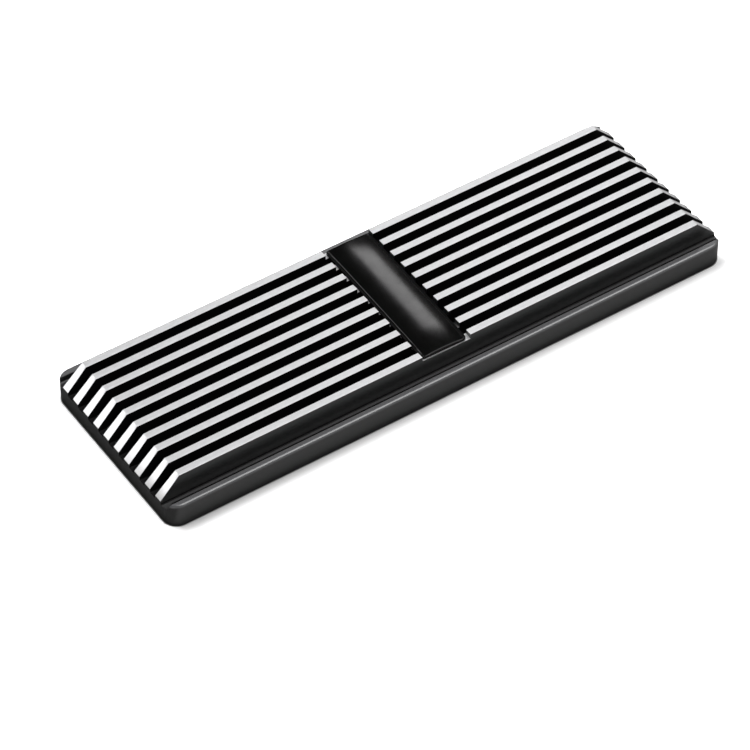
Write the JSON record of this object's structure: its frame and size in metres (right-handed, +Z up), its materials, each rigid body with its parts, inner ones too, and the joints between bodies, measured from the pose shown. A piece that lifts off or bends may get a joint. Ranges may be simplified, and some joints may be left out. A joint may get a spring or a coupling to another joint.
{
  "type": "ssd heat sink",
  "caption": "Low rectangular finned heat sink with round corners, sloped fin ends, a domed badge across the middle and a thermal pad let into its underside",
  "frame": {"origin": "middle of the contact face of the thermal pad, the lowest face of the part", "axes": "+X along the fins, +Y across them, +Z up, away from the module that is cooled"},
  "size_m": [0.07, 0.023, 0.0051],
  "materials": {
    "anodised_metal": "black anodised, fin tops and fin ends cut back to bare brushed metal",
    "badge_gloss": "glossy black resin dome",
    "film": "thin double-sided adhesive film",
    "pad": "soft matt silicone"
  },
  "bodies": {
    "root": {"body": "anodised_metal", "badge": "badge_gloss", "badge_tape": "film", "thermal_pad": "pad"}
  },
  "joints": []
}
